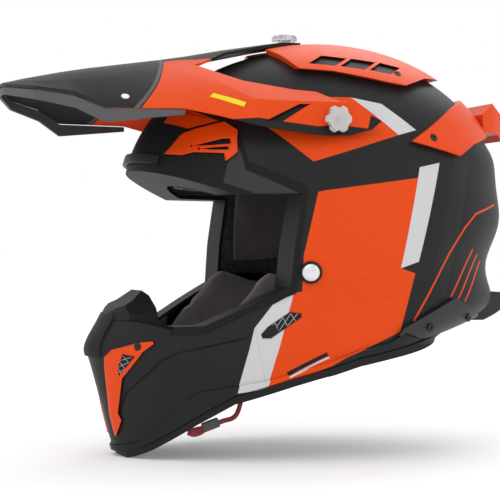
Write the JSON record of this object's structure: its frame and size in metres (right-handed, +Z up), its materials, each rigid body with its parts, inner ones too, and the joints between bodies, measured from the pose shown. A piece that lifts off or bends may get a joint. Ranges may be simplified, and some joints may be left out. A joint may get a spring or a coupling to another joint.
{
  "type": "motocross helmet",
  "caption": "Full-face off-road helmet with a tilting peak, open eye port, chin bar, vents, foam liner and slide-out cheek pads.",
  "frame": {"origin": "middle of the wearer's head, inside the head cavity", "axes": "+X to the wearer's left, -Y forwards, +Z up as worn"},
  "size_m": [0.2488, 0.424, 0.3406],
  "materials": {
    "shell_paint": "matt black lacquer with orange and pale grey panels",
    "dark_trim": "satin dark grey",
    "grey_trim": "satin grey",
    "grille_plastic": "matt black",
    "orange_plastic": "matt orange",
    "peak_plastic": "matt orange and black",
    "clear_plastic": "clear moulded plastic",
    "foam": "moulded bead foam",
    "soft_rubber": "matt",
    "mesh_fabric": "grey-brown knitted mesh",
    "webbing": "woven",
    "red_ribbon": "woven",
    "rivet_steel": "satin",
    "black_steel": "black oxide",
    "insert_brass": "turned"
  },
  "bodies": {
    "helmet": {"outer_shell": "shell_paint", "eps_liner": "foam", "eps_chin": "foam", "eyeport_frame": "dark_trim", "brow_screen": "grille_plastic", "brow_vent_left": "orange_plastic", "brow_vent_right": "orange_plastic", "crown_vent": "orange_plastic", "crown_grilles": "grille_plastic", "side_grille_left": "grille_plastic", "side_grille_right": "grille_plastic", "chin_vent_left": "orange_plastic", "chin_vent_right": "orange_plastic", "chin_grille_left": "grille_plastic", "chin_grille_right": "grille_plastic", "nose_guard": "soft_rubber", "rear_spoiler": "orange_plastic", "rear_exhaust": "dark_trim", "rear_skirt_left": "dark_trim", "rear_skirt_right": "dark_trim", "base_trim": "soft_rubber", "base_band": "shell_paint", "strap_rivet_left": "rivet_steel", "strap_rivet_right": "rivet_steel", "skirt_screws": "black_steel", "spoiler_screws": "black_steel", "chin_screws": "black_steel", "crown_screws": "black_steel", "peak_insert_left": "insert_brass", "peak_insert_right": "insert_brass", "peak_insert_top": "insert_brass", "crown_pad": "mesh_fabric", "brow_pad": "mesh_fabric", "neck_roll": "mesh_fabric", "strap_left": "webbing", "strap_right": "webbing"},
    "peak": {"peak_blade": "peak_plastic", "peak_lip": "grey_trim", "peak_duct": "dark_trim", "wing_liner_left": "grille_plastic", "wing_liner_right": "grille_plastic", "lip_screws": "rivet_steel"},
    "cheek_left": {"cheek_core_left": "foam", "cheek_pad_left": "mesh_fabric", "release_loop_left": "red_ribbon", "loop_clip_left": "grey_trim"},
    "cheek_right": {"cheek_core_right": "foam", "cheek_pad_right": "mesh_fabric", "release_loop_right": "red_ribbon", "loop_clip_right": "grey_trim"},
    "thumb_screw_left": {"knob_left": "clear_plastic"},
    "thumb_screw_right": {"knob_right": "clear_plastic"},
    "thumb_screw_top": {"knob_top": "clear_plastic"}
  },
  "joints": [
    {"name": "peak_tilt", "type": "hinge", "parent": "helmet", "child": "peak", "pos_m": [0, -0.015, 0.099], "axis": [1, 0, 0], "range_deg": [-4, 6]},
    {"name": "screw_turn_left", "type": "hinge", "parent": "helmet", "child": "thumb_screw_left", "pos_m": [0.122, -0.015, 0.099], "axis": [1, 0, 0], "range_deg": [-180, 180]},
    {"name": "screw_turn_right", "type": "hinge", "parent": "helmet", "child": "thumb_screw_right", "pos_m": [-0.122, -0.015, 0.099], "axis": [1, 0, 0], "range_deg": [-180, 180]},
    {"name": "screw_turn_top", "type": "hinge", "parent": "helmet", "child": "thumb_screw_top", "pos_m": [0, -0.015, 0.172], "axis": [0, 0, 1], "range_deg": [-180, 180]},
    {"name": "cheek_release_left", "type": "slide", "parent": "helmet", "child": "cheek_left", "axis": [-0.35, 0, -0.9367], "range_m": [0, 0.09]},
    {"name": "cheek_release_right", "type": "slide", "parent": "helmet", "child": "cheek_right", "axis": [0.35, 0, -0.9367], "range_m": [0, 0.09]}
  ]
}
